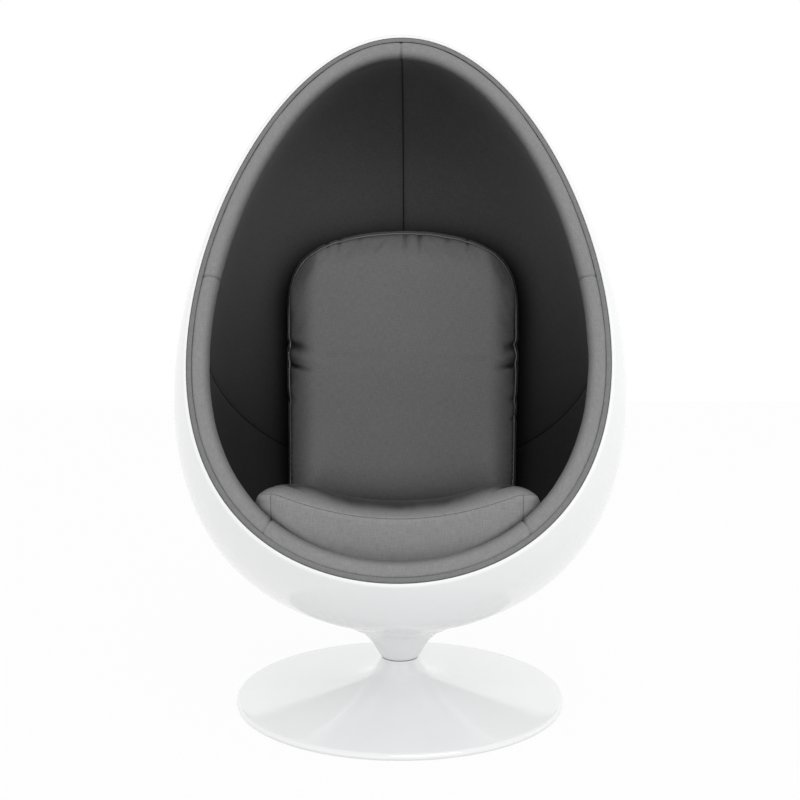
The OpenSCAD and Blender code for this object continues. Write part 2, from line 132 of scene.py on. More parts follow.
def within(p, t):
    """Whether points, taken from the egg's centre, lie inside the layer t."""
    q = leant(p, EGG_LEAN)
    along, across = q[..., 2], np.hypot(q[..., 0], q[..., 1])
    return (np.abs(along) < EGG_LEN/2 - t) & (across < layer_r(along, t))


def reach(p, d, t, steps=34):
    """Distance from p along d at which the layer t is reached; p is taken from the egg's centre."""
    shape = np.broadcast_shapes(p.shape[:-1], d.shape[:-1], np.shape(t))
    near, far = np.zeros(shape), np.full(shape, EGG_LEN)
    for _ in range(steps):
        middle = (near + far)/2
        inside = within(p + middle[..., None]*d, t)
        near = np.where(inside, middle, near)
        far = np.where(inside, far, middle)
    return near


DOWN = np.array([0.0, 0.0, -1.0])
BACK = np.array([0.0, 1.0, 0.0])
EGG_DROP = float(reach(np.array([0.0, -EGG_SETBACK, 0.0]), DOWN, 0.0))
EGG_CENTRE = np.array([0.0, EGG_SETBACK, EGG_CLEARANCE + EGG_DROP])


def bowl_z(x, y, t):
    """Height of the layer t under the seat."""
    start = stacked(x, y, SEAT_H + SEAT_DISH)
    return start[..., 2] - reach(start - EGG_CENTRE, DOWN, t)


def wall_y(x, z, t):
    """Place of the layer t behind the back."""
    start = stacked(x, EGG_SETBACK, z)
    return start[..., 1] + reach(start - EGG_CENTRE, BACK, t)


def from_mouth(q):
    return leant(q, -MOUTH_LEAN)


def to_mouth(p):
    return leant(p - EGG_CENTRE, MOUTH_LEAN)


def mouth_point(angle, depth_in, back):
    """Place at an angle round the mouth, in from the shell's face and back from its plane."""
    start = from_mouth(stacked(0.0, back - MOUTH_FORWARD, SIDE_SEAM_RISE))
    d = from_mouth(stacked(np.cos(angle), 0.0, np.sin(angle)))
    return EGG_CENTRE + start + reach(start, d, depth_in)[..., None]*d


def smooth(share):
    share = np.clip(share, 0, 1)
    return share*share*(3 - 2*share)


# Mesh helpers

def placed(name, data):
    """A new object in the scene."""
    obj = bpy.data.objects.new(name, data)
    bpy.context.scene.collection.objects.link(obj)
    return obj


def grid_object(name, points, wrap=False, first=None, last=None, uv=None):
    """A smooth mesh over rows of points; wrap joins each row's ends, first and last close it."""
    rows, cols = points.shape[:2]
    verts = points.reshape(-1, 3).tolist()
    span = cols if wrap else cols - 1
    faces, corners = [], []
    for i in range(rows - 1):
        for j in range(span):
            k = (j + 1) % cols
            faces.append((i*cols + j, i*cols + k, (i + 1)*cols + k, (i + 1)*cols + j))
            corners.append(((i, j), (i, j + 1), (i + 1, j + 1), (i + 1, j)))
    for point, row in ((first, 0), (last, rows - 1)):
        if point is None:
            continue
        verts.append(list(map(float, point)))
        end = len(verts) - 1
        for j in range(span):
            k = (j + 1) % cols
            a, b = row*cols + j, row*cols + k
            faces.append((end, b, a) if row == 0 else (end, a, b))
            here, ahead = (row, j), (row, j + 1)
            corners.append((here, ahead, here) if row == 0 else (here, here, ahead))
    mesh = bpy.data.meshes.new(name)
    mesh.from_pydata(verts, [], faces)
    mesh.polygons.foreach_set("use_smooth", [True]*len(faces))
    if uv is not None:
        layer = mesh.uv_layers.new(name="cloth")
        flat = np.array([uv[i, j] for face in corners for i, j in face], np.float32)
        layer.data.foreach_set("uv", flat.reshape(-1))
    mesh.update()
    return placed(name, mesh)


def arc_uv(points, wrap=False):
    """Texture places in metres along the rows and across them."""
    loop = np.concatenate([points, points[:, :1]], 1) if wrap else points
    along = np.linalg.norm(np.diff(loop, axis=1), axis=-1).mean(0)
    across = np.linalg.norm(np.diff(loop, axis=0), axis=-1).mean(1)
    u = np.concatenate([[0], np.cumsum(along)])
    v = np.concatenate([[0], np.cumsum(across)])
    return np.stack(np.meshgrid(u, v), -1)


def coordinates(obj):
    co = np.empty(len(obj.data.vertices)*3, np.float32)
    obj.data.vertices.foreach_get("co", co)
    return co.reshape(-1, 3).astype(float)


def set_coordinates(obj, co):
    obj.data.vertices.foreach_set("co", co.astype(np.float32).reshape(-1))
    obj.data.update()


def normals(obj):
    n = np.empty(len(obj.data.vertices)*3, np.float32)
    obj.data.vertices.foreach_get("normal", n)
    return n.reshape(-1, 3).astype(float)


def face_out(obj):
    """Turns the faces of a closed piece so that they look away from its inside."""
    form = bmesh.new()
    form.from_mesh(obj.data)
    if form.calc_volume(signed=True) < 0:
        bmesh.ops.reverse_faces(form, faces=form.faces)
        form.to_mesh(obj.data)
    form.free()
    return obj


def box_uv(obj):
    """Gives every face texture places in metres from the axis that it faces most."""
    mesh = obj.data
    layer = mesh.uv_layers.get("cloth") or mesh.uv_layers.new(name="cloth")
    loops = np.empty(len(mesh.loops), np.int32)
    mesh.loops.foreach_get("vertex_index", loops)
    counts = np.empty(len(mesh.polygons), np.int32)
    mesh.polygons.foreach_get("loop_total", counts)
    facing = np.empty(len(mesh.polygons)*3, np.float32)
    mesh.polygons.foreach_get("normal", facing)
    axis = np.repeat(np.abs(facing.reshape(-1, 3)).argmax(1), counts)
    co = coordinates(obj)[loops]
    u = np.where(axis == 0, co[:, 1], co[:, 0])
    v = np.where(axis == 2, co[:, 1], co[:, 2])
    layer.data.foreach_set("uv", np.stack([u, v], -1).astype(np.float32).reshape(-1))


def waves(points, size, seed):
    """Smooth noise at each point, with features of about the given size."""
    offset = Vector((seed, 2*seed, 3*seed))
    return np.array([noise.noise(Vector(p)/size + offset) for p in points])


def paint(obj, name, values):
    """Stores a number on each vertex for the material to read."""
    attribute = obj.data.attributes.get(name) or obj.data.attributes.new(name, "FLOAT", "POINT")
    attribute.data.foreach_set("value", np.asarray(values, np.float32).ravel())


def closed_tube(name, path, radius, sides=8):
    """A thin round cord along a closed path of points."""
    tangent = np.roll(path, -1, 0) - np.roll(path, 1, 0)
    tangent /= np.linalg.norm(tangent, axis=1)[:, None]
    off_axis = np.array([0.13, 0.21, 0.97])
    side = np.cross(tangent, off_axis)
    side /= np.linalg.norm(side, axis=1)[:, None]
    other = np.cross(tangent, side)
    angle = 2*math.pi*np.arange(sides)/sides
    c, s = np.cos(angle)[None, :, None], np.sin(angle)[None, :, None]
    points = path[:, None] + radius*(c*side[:, None] + s*other[:, None])
    points = np.concatenate([points, points[:1]])
    return grid_object(name, points, wrap=True, uv=arc_uv(points, True))


def nearest(path, co):
    """Distance from each point to the nearest point of the path."""
    tree = KDTree(len(path))
    for i, p in enumerate(path):
        tree.insert(p, i)
    tree.balance()
    return np.array([tree.find(p)[2] for p in co])


def snapped(obj, path, lift=0.0):
    """The path moved onto the surface of obj, lifted along its normals."""
    verts = [v.co for v in obj.data.vertices]
    tree = BVHTree.FromPolygons(verts, [p.vertices[:] for p in obj.data.polygons])
    out = []
    for p in path:
        place, normal, _, _ = tree.find_nearest(Vector(p))
        out.append(place + lift*normal)
    return np.array(out)


def dress(obj, material, slot, body, *replaced):
    obj.data.materials.clear()
    obj.data.materials.append(material)
    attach(obj, body)
    if replaced:
        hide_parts(*replaced)
    return obj


# Materials

def new_material(name, **inputs):
    material = bpy.data.materials.new(name)
    material.use_nodes = True
    shader = material.node_tree.nodes["Principled BSDF"]
    for key, value in inputs.items():
        shader.inputs[key.replace("_", " ")].default_value = value
    return material, material.node_tree, shader


def add(tree, kind, **settings):
    made = tree.nodes.new(kind)
    for key, value in settings.items():
        setattr(made, key, value)
    return made


def math_node(tree, operation, *values):
    made = add(tree, "ShaderNodeMath", operation=operation)
    for socket, value in zip(made.inputs, values):
        if isinstance(value, (int, float)):
            socket.default_value = value
        else:
            tree.links.new(value, socket)
    return made.outputs[0]


def noise_of(tree, vector, scale, detail=2.0, stretch=(1, 1, 1)):
    """Noise texture output, as a number round a half, over a stretched vector."""
    mapping = add(tree, "ShaderNodeMapping")
    mapping.inputs["Scale"].default_value = stretch
    tree.links.new(vector, mapping.inputs["Vector"])
    made = add(tree, "ShaderNodeTexNoise")
    made.inputs["Scale"].default_value = scale
    made.inputs["Detail"].default_value = detail
    tree.links.new(mapping.outputs[0], made.inputs["Vector"])
    return made.outputs[0]


def tinted(tree, colour, amount):
    """A colour times a varying amount."""
    made = add(tree, "ShaderNodeVectorMath", operation="SCALE")
    if isinstance(colour, tuple):
        made.inputs[0].default_value = colour
    else:
        tree.links.new(colour, made.inputs[0])
    tree.links.new(amount, made.inputs["Scale"])
    return made.outputs[0]


def bumped(tree, shader, height, strength, distance):
    bump = add(tree, "ShaderNodeBump")
    bump.inputs["Strength"].default_value = strength
    bump.inputs["Distance"].default_value = distance
    tree.links.new(height, bump.inputs["Height"])
    tree.links.new(bump.outputs[0], shader.inputs["Normal"])


# Cloth: pitch of the threads and width of a seam in metres, scales and gains of the noises
THREAD_PITCH = 0.0013
WEAVE_GAIN = 0.35
SLUB_LONG = 70
SLUB_SHORT = 620
SLUB_GAIN = 0.34
GRAIN_SCALE = 520.0
GRAIN_GAIN = 0.30
MOTTLE_SCALE = 9.0
MOTTLE_GAIN = 0.10
CLOTH_BUMP = {"strength": 0.35, "distance": 0.0006}
SEAM_W = 0.0011
STITCH_SCALE = 160.0
STITCH_GAIN = 0.9
STITCH_LEAST = 0.55


def seam_line(tree, names, uv):
    """One on the seams whose distances have these names, nought a seam's width away."""
    total = None
    for name in names:
        distance = add(tree, "ShaderNodeAttribute", attribute_name=name).outputs["Fac"]
        near = math_node(tree, "DIVIDE", math_node(tree, "ABSOLUTE", distance), SEAM_W)
        line = math_node(tree, "MAXIMUM", math_node(tree, "SUBTRACT", 1.0, near), 0.0)
        total = math_node(tree, "MAXIMUM", total, line) if total else line
    broken = math_node(
        tree, "MULTIPLY_ADD", noise_of(tree, uv, STITCH_SCALE, 1.0), STITCH_GAIN, STITCH_LEAST)
    return math_node(tree, "MINIMUM", math_node(tree, "MULTIPLY", total, broken), 1.0)


def cloth_material(name, colour, painted_shade_colour=None, seams=(), seam_dark=0.62, close=()):
    """Plain woven cloth with slubs and sewn seams; the painted shade attribute leads to the second
    colour, a painted shade colour.

    Each pair in close paints shade on places that are shut in within that many metres, by that
    power.
    """
    material, tree, shader = new_material(
        name, Roughness=0.92, Sheen_Weight=0.12, Sheen_Roughness=0.45, Specular_IOR_Level=0.18)
    uv = add(tree, "ShaderNodeUVMap", uv_map="cloth").outputs[0]
    parts = add(tree, "ShaderNodeSeparateXYZ")
    tree.links.new(uv, parts.inputs[0])
    turn = math.pi/THREAD_PITCH
    warp = math_node(tree, "SINE", math_node(tree, "MULTIPLY", parts.outputs[0], turn))
    weft = math_node(tree, "SINE", math_node(tree, "MULTIPLY", parts.outputs[1], turn))
    weave = math_node(tree, "MULTIPLY", warp, weft)
    slub_u = noise_of(tree, uv, 1.0, 1.0, (SLUB_LONG, SLUB_SHORT, 1))
    slub_v = noise_of(tree, uv, 1.0, 1.0, (SLUB_SHORT, SLUB_LONG, 1))
    grain = noise_of(tree, uv, GRAIN_SCALE, 2.0)
    mottle = noise_of(tree, uv, MOTTLE_SCALE, 3.0)
    slubs = math_node(tree, "SUBTRACT", math_node(tree, "ADD", slub_u, slub_v), 1.0)
    tone = math_node(tree, "MULTIPLY_ADD", slubs, SLUB_GAIN, 1.0)
    for value, gain in ((grain, GRAIN_GAIN), (mottle, MOTTLE_GAIN)):
        step = math_node(tree, "MULTIPLY", math_node(tree, "SUBTRACT", value, 0.5), gain)
        tone = math_node(tree, "ADD", tone, step)
    threads = math_node(tree, "MULTIPLY", weave, WEAVE_GAIN)
    height = math_node(tree, "ADD", threads, math_node(tree, "ADD", slubs, grain))
    if seams:
        line = seam_line(tree, seams, uv)
        clear = math_node(tree, "SUBTRACT", 1.0, math_node(tree, "MULTIPLY", line, seam_dark))
        tone = math_node(tree, "MULTIPLY", tone, clear)
        height = math_node(tree, "SUBTRACT", height, line)
    # Painted shade: ambient occlusion darkens the cloth's colour where it is shut in.
    for distance, power in close:
        sheltered = add(tree, "ShaderNodeAmbientOcclusion", samples=6)
        sheltered.inputs["Distance"].default_value = distance
        open_share = math_node(tree, "POWER", sheltered.outputs["AO"], power)
        tone = math_node(tree, "MULTIPLY", tone, open_share)
    base = colour
    # Painted shade: the attribute mixes the colour towards the shade colour.
    if painted_shade_colour:
        mix = add(tree, "ShaderNodeMix", data_type="RGBA")
        painted_shade = add(tree, "ShaderNodeAttribute", attribute_name="painted_shade")
        tree.links.new(painted_shade.outputs["Fac"], mix.inputs[0])
        mix.inputs[6].default_value = (*colour, 1)
        mix.inputs[7].default_value = (*painted_shade_colour, 1)
        base = mix.outputs[2]
    tree.links.new(tinted(tree, base, tone), shader.inputs["Base Color"])
    bumped(tree, shader, height, **CLOTH_BUMP)
    return material


# Gel coat: clouds in its tone and roughness, and a fine orange peel
CLOUD_SCALE = 3.0
CLOUD_GAIN = 0.02
CLOUD_ROUGHNESS = 0.05
PEEL_SCALE = 60.0
PEEL_BUMP = {"strength": 0.03, "distance": 0.001}


def gelcoat_material(name, colour, coat, coat_ior, coat_roughness):
    """White gel coat: a clear layer over a faintly uneven white."""
    material, tree, shader = new_material(
        name, Specular_IOR_Level=0.4,
        Coat_Weight=coat, Coat_Roughness=coat_roughness, Coat_IOR=coat_ior)
    place = add(tree, "ShaderNodeTexCoord").outputs["Object"]
    cloud = noise_of(tree, place, CLOUD_SCALE, 3.0)
    centred = math_node(tree, "SUBTRACT", cloud, 0.5)
    tone = math_node(tree, "MULTIPLY_ADD", centred, CLOUD_GAIN, 1.0)
    tree.links.new(tinted(tree, colour, tone), shader.inputs["Base Color"])
    rough = math_node(tree, "MULTIPLY_ADD", cloud, CLOUD_ROUGHNESS, CLOUD_ROUGHNESS)
    tree.links.new(rough, shader.inputs["Roughness"])
    bumped(tree, shader, noise_of(tree, place, PEEL_SCALE, 2.0), **PEEL_BUMP)
    return material


def grainy_material(name, colour, roughness, metallic=0.0, scale=400.0, stretch=(1, 1, 1),
                    gain=0.2, bump=0.1):
    """A plain material whose tone, roughness and height follow one noise."""
    material, tree, shader = new_material(name, Metallic=metallic)
    place = add(tree, "ShaderNodeTexCoord").outputs["Object"]
    grain = noise_of(tree, place, scale, 3.0, stretch)
    tone = math_node(tree, "MULTIPLY_ADD", math_node(tree, "SUBTRACT", grain, 0.5), gain, 1.0)
    tree.links.new(tinted(tree, colour, tone), shader.inputs["Base Color"])
    rough = math_node(tree, "MULTIPLY_ADD", grain, 0.5*roughness, 0.75*roughness)
    tree.links.new(rough, shader.inputs["Roughness"])
    bumped(tree, shader, grain, bump, 0.0005)
    return material


# Painted shade where the cloth is shut in: within this many metres, by this power
LINING_OCCLUSION_SHADE = (0.30, 1.2)
BACK_OCCLUSION_SHADE = (0.10, 1.0)
LINING_SEAM_DARK = 0.93

gelcoat = gelcoat_material("gelcoat", GELCOAT, coat=0.6, coat_ior=1.4, coat_roughness=0.16)
gelcoat_polished = gelcoat_material(
    "gelcoat_polished", GELCOAT_BASE_LIT, coat=1.0, coat_ior=2.2, coat_roughness=0.03)
cloth = cloth_material("cloth", CLOTH)
cloth_roll = cloth_material("cloth_roll", CLOTH, CLOTH_SHADE)
cloth_welt = cloth_material("cloth_welt", CLOTH_WELT)
cloth_lining = cloth_material(
    "cloth_lining", CLOTH, CLOTH_SHADE, ["seam"], LINING_SEAM_DARK, [LINING_OCCLUSION_SHADE])
cloth_seat = cloth_material("cloth_seat", CLOTH, CLOTH_SHADE, ["seam_top", "seam_end"])
cloth_back = cloth_material("cloth_back", CLOTH_BACK_SHADED, CLOTH_SHADE, close=[BACK_OCCLUSION_SHADE])
CAD_LOOKS = {
    "foam": grainy_material("foam", FOAM, 0.95, scale=900, gain=0.3, bump=0.5),
    "plate_steel": grainy_material("plate_steel", (0.02, 0.02, 0.022), 0.45, scale=700, bump=0.2),
    "bearing_steel": grainy_material(
        "bearing_steel", (0.6, 0.6, 0.62), 0.25, 1.0, 300, (1, 1, 12), 0.15, 0.05),
    "bolt_steel": grainy_material("bolt_steel", (0.52, 0.54, 0.56), 0.35, 1.0, 500),
    "cage_brass": grainy_material("cage_brass", (0.68, 0.48, 0.2), 0.3, 1.0, 400),
    "bush_plastic": grainy_material("bush_plastic", (0.8, 0.78, 0.72), 0.5, scale=300, gain=0.06),
    "mat_rubber": grainy_material("mat_rubber", (0.02, 0.02, 0.02), 0.85, scale=800, bump=0.3),
    "gelcoat": gelcoat,
    "upholstery": cloth,
}
for part in frame["record"]["subparts"]:
    kept = frame["nodes"][part["node"]]
    kept.data.materials.clear()
    kept.data.materials.append(CAD_LOOKS[part["material_slot"]])


# Shell: the egg's outside and the waist in one sheet, the rounded lip and the inside

SHELL_COLS = 300
SHELL_ROWS = 110
INSIDE_ROWS = 30
LIP_ROUND = 0.0028
LIP_STEPS = 5
CONE_RISE = EGG_CLEARANCE - SEAM_HIGH
CONE_OUT = 0.98*NECK_R
SWEEP_OUT = NECK_R/6
CONE_REACH = 4
CONE_STEPS = 400
WAIST_OUT = 0.160
WAIST_ROWS = 70
WAIST_FILLET = 0.034
WAIST_FILLET_W = 0.07
EDGE_ROUND = 0.0012


def cone_z(r):
    """Height of the waist's cone at the radius r."""
    share = np.linspace(0, CONE_REACH, CONE_STEPS)
    radius = NECK_R + CONE_OUT*share + SWEEP_OUT*share**4
    return SEAM_HIGH + CONE_RISE*np.interp(r, radius, share)


def waist_rows(turn):
    """Rows of the underside from the waist's seam outwards: cone and egg joined by a fillet."""
    r = NECK_R + (WAIST_OUT - NECK_R)*np.linspace(0, 1, WAIST_ROWS)[1:, None]
    x, y = r*np.cos(turn), r*np.sin(turn)
    egg = bowl_z(x, y, 0.0)
    cone = np.broadcast_to(cone_z(r), egg.shape)
    fillet = WAIST_FILLET*smooth((WAIST_OUT - r)/WAIST_FILLET_W) + 1e-4
    mix = np.clip(0.5 + 0.5*(egg - cone)/fillet, 0, 1)
    return stacked(x, y, egg*(1 - mix) + cone*mix - fillet*mix*(1 - mix))


def flattened(d):
    """Directions in the mouth's frame laid on a plane, with the mouth outermost."""
    d = d/np.linalg.norm(d, axis=-1)[..., None]
    return d[..., [0, 2]]/(1 + d[..., 1:2])


def raised(q):
    """Directions of places on the flattened plane."""
    square = (q*q).sum(-1)
    return stacked(2*q[..., 0], 1 - square, 2*q[..., 1])/(1 + square)[..., None]


def outside_rows(angle):
    """Rows of the outside from the waist's seam to the mouth's lip."""
    rim = flattened(to_mouth(mouth_point(angle, 0.0, LIP_ROUND)))
    foot = flattened(to_mouth(stacked(0.0, 0.0, bowl_z(np.zeros(1), np.zeros(1), 0.0))))
    turn = np.arctan2(rim[:, 1] - foot[0, 1], rim[:, 0] - foot[0, 0])
    near = waist_rows(turn)
    start = flattened(to_mouth(near[-1]))
    share = np.linspace(0, 1, SHELL_ROWS)[1:, None, None]
    d = from_mouth(raised(start*(1 - share) + rim*share))
    return np.concatenate([near, EGG_CENTRE + reach(np.zeros(3), d, 0.0)[..., None]*d]), turn


def inside_rows(angle):
    """Rows of the inside from the mouth to the point behind the egg's centre."""
    start = to_mouth(mouth_point(angle, SHELL_T, LIP_ROUND))
    polar = np.arctan2(np.hypot(start[:, 0], start[:, 2]), -start[:, 1])
    turn = np.arctan2(start[:, 2], start[:, 0])
    share = np.linspace(0, 1, INSIDE_ROWS + 1)[:-1, None]
    p = polar[None]*(1 - share) + math.pi*share
    d = from_mouth(stacked(np.sin(p)*np.cos(turn), -np.cos(p), np.sin(p)*np.sin(turn)))
    return EGG_CENTRE + reach(np.zeros(3), d, SHELL_T)[..., None]*d


def rounded_edge(r, z, up, towards):
    """Three places on a neck's rounded edge; up leads to its wall and towards to its flat end."""
    e = EDGE_ROUND
    return [(r, z + up*e), (r + 0.3*towards*e, z + 0.3*up*e), (r + towards*e, z)]


def lathed(profile, turn):
    """Rings round the upright axis, one for each radius and height of the profile."""
    return np.array([stacked(r*np.cos(turn), r*np.sin(turn), z) for r, z in profile])


def shell():
    """The white egg in one closed sheet, from the waist's seam round the lip to the inside."""
    angle = 2*math.pi*np.arange(SHELL_COLS)/SHELL_COLS
    arc = np.linspace(0, math.pi/2, LIP_STEPS)[1:-1, None]
    flat = np.array([[0.0], [0.5], [1.0]])
    arc_in, arc_back = LIP_ROUND*(1 - np.cos(arc)), LIP_ROUND*(1 - np.sin(arc))
    outer_arc = mouth_point(angle, arc_in, arc_back)
    front = mouth_point(angle, LIP_ROUND + flat*(SHELL_T - 2*LIP_ROUND), 0.0)
    inner_arc = mouth_point(angle, SHELL_T - arc_in[::-1], arc_back[::-1])
    outside, turn = outside_rows(angle)
    inner_r, boss_z = NECK_R - SHELL_T, SEAM_HIGH + 2*SHELL_T
    edge = [(inner_r, boss_z)] + rounded_edge(inner_r, SEAM_HIGH, 1, 1)
    edge += rounded_edge(NECK_R, SEAM_HIGH, 1, -1)[::-1]
    points = np.concatenate(
        [lathed(edge, turn), outside, outer_arc, front, inner_arc, inside_rows(angle)])
    behind = from_mouth(BACK)
    pole = EGG_CENTRE + reach(np.zeros(3), behind, SHELL_T)*behind
    return face_out(grid_object("shell_gelcoat", points, wrap=True, first=(0.0, 0.0, boss_z),
                                last=pole, uv=arc_uv(points, True)))


# Base: a trumpet from the waist to the rounded rim

BASE_COLS = 240
FLARE_POWER = 5.4
FLARE_STEPS = 130
RIM_TOP = 0.0113
RIM_STEPS = 9


def trumpet():
    """The base's skin, round its upright axis."""
    angle = 2*math.pi*np.arange(BASE_COLS)/BASE_COLS
    share = np.linspace(0, 1, FLARE_STEPS)
    r = NECK_R*(1 + share) + (BASE_R - RIM_ROUND - 2*NECK_R)*share**FLARE_POWER
    z = SEAM_LOW - (SEAM_LOW - RIM_TOP)*share
    inner_r = NECK_R - SKIN_T
    profile = [(inner_r, SEAM_LOW - 4*SKIN_T)] + rounded_edge(inner_r, SEAM_LOW, -1, 1)
    profile += [(a, min(h, SEAM_LOW)) for a, h in zip(r, z)]
    rim_r, rim_z = BASE_R - RIM_ROUND, RIM_TOP - RIM_ROUND
    profile += [(rim_r + RIM_ROUND*math.cos(a), rim_z + RIM_ROUND*math.sin(a))
                for a in np.linspace(math.pi/2, 0, RIM_STEPS)[1:]]
    profile += [(BASE_R, SKIN_FOOT), (BASE_R - SKIN_T, SKIN_FOOT), (BASE_R - SKIN_T, rim_z)]
    points = lathed(profile, angle)
    return grid_object("base_gelcoat", points[::-1], wrap=True, uv=arc_uv(points, True)[::-1])


dress(shell(), gelcoat, "gelcoat", "seat", "egg_shell")
dress(trumpet(), gelcoat_polished, "gelcoat", "base", "base_skin")


# Lining: four sewn panels inside the foam

SEAM_TURN = SIDE_SEAM_FALL - MOUTH_LEAN
LINING_START = 0.038
GROOVE_DEPTH = 0.0015
GROOVE_W = 0.006
PUFF = 0.0022
PUFF_START_W = 0.05
PUFF_EDGE_W = 0.02
PUFF_WAVES = {"size": 0.13, "seed": 3.1}
PANEL_STEPS = 70
PANEL_FINE = 0.03
PANEL_TILT = math.radians(89.5)
LINING_SEAM_W = 0.0030
# Painted shade on the lining: a share of shade everywhere, more towards the bottom, and painted
# light along the mouth's rim.
LINING_BASE_SHADE = 0.51
LINING_LIT_Z = 1.0
LINING_DARK_Z = 0.44
LINING_SHADE = 0.78
LINING_RIM_LIGHT = 0.75
LINING_RIM_W = 0.11


def panel_origin():
    """Where the side seams' plane meets the lining's front edge, in the mouth's own frame."""
    rise = SIDE_SEAM_RISE - LINING_START*math.tan(SEAM_TURN)
    return np.array([0.0, LINING_START - MOUTH_FORWARD, rise])


def spread(steps, fine):
    """Places from 0 to 1, close together at the start."""
    share = np.linspace(0, 1, steps)
    return fine*share + (1 - fine)*share**2


def lining_panel(name, side, upper):
    """One quarter of the lining, sunk along its seams; side is -1 left and 1 right."""
    origin = panel_origin()
    reach_up = math.pi/2 + SEAM_TURN if upper else math.pi/2 - SEAM_TURN
    share = spread(PANEL_STEPS, PANEL_FINE)
    rise = share[:, None]*reach_up
    turn = -SEAM_TURN + rise if upper else -SEAM_TURN - rise
    tilt = share[None, :]*PANEL_TILT
    turn, tilt = np.broadcast_arrays(turn, tilt)
    d = from_mouth(stacked(side*np.sin(tilt), np.cos(tilt)*np.cos(turn), np.cos(tilt)*np.sin(turn)))
    start = from_mouth(origin)
    points = EGG_CENTRE + start + reach(start, d, FABRIC_IN)[..., None]*d
    plane = from_mouth(np.array([0.0, math.sin(SEAM_TURN), math.cos(SEAM_TURN)]))
    gap = np.minimum(np.abs(points[..., 0]), np.abs((points - EGG_CENTRE - start) @ plane))
    back = to_mouth(points)[..., 1] + MOUTH_FORWARD
    swell = waves(points.reshape(-1, 3), **PUFF_WAVES).reshape(gap.shape)
    puff = PUFF*smooth((back - ROLL_DEPTH)/PUFF_START_W)*(1 + 0.5*swell)
    depth = puff*(1 - np.exp(-gap/PUFF_EDGE_W)) - GROOVE_DEPTH*np.exp(-(gap/GROOVE_W)**2)
    points = points - depth[..., None]*d
    # Painted light and shade: the lining darkens towards the bottom and lightens along the rim.
    low = smooth((LINING_LIT_Z - points[..., 2])/(LINING_LIT_Z - LINING_DARK_Z))
    rim = LINING_RIM_LIGHT*(1 - smooth((back - ROLL_DEPTH)/(LINING_RIM_W*(1.3 - 0.6*low))))
    painted_shade = LINING_BASE_SHADE*(1 - rim) + (1 - LINING_BASE_SHADE)*LINING_SHADE*low
    if (side > 0) == upper:
        points, gap, painted_shade = points[:, ::-1], gap[:, ::-1], painted_shade[:, ::-1]
    obj = grid_object(name + "_cloth", points)
    box_uv(obj)
    paint(obj, "seam", gap*SEAM_W/LINING_SEAM_W)
    paint(obj, "painted_shade", painted_shade)
    dress(obj, cloth_lining, "upholstery", "seat", name)


for side, word in ((-1, "left"), (1, "right")):
    lining_panel("lining_upper_" + word, side, True)
    lining_panel("lining_lower_" + word, side, False)


# Edge roll and welt

ROLL_STEP = 0.007
PINCH_DEPTH = 0.0024
PINCH_W = 0.0022
SHIFT_REACH = 0.05
ROLL_CORE = np.array([0.030, 0.020])
ROLL_SHOULDER = ((0.0001, 0.0065), (0.0003, 0.0030), (0.0014, 0.0011), (0.0030, 0.0003))
ROLL_CROWN_IN = 0.0045
ROLL_ARC_STEPS = 16
ROLL_TAIL = ((0.0002, 0.005), (0.0012, 0.010), (0.0030, 0.015),
             (0.0055, 0.0195), (0.0085, 0.0230), (0.0115, 0.0255))
ROLL_END_SHADE = 0.5
ROLL_END_PLACES = np.array([0, 0.0005, 0.0011, 0.002, 0.0032, 0.005])
ROLL_END_FREE = 0.009
ROLL_SWELLS = ((0.07, 1.3, 0.0009), (0.022, 4.2, 0.00035))


def roll_section():
    """The roll's section from welt to lining: places in from the shell and back from the mouth."""
    edge = WELT_OUT + WELT_W
    crown_in = edge + ROLL_CROWN_IN
    arc = np.linspace(math.pi/2, 0, ROLL_ARC_STEPS)
    return np.array(
        [(edge + a, b) for a, b in ROLL_SHOULDER]
        + [(crown_in + (ROLL_IN - crown_in)*math.cos(a), ROLL_ROUND*(1 - math.sin(a))) for a in arc]
        + [(ROLL_IN - a, ROLL_ROUND + b) for a, b in ROLL_TAIL])


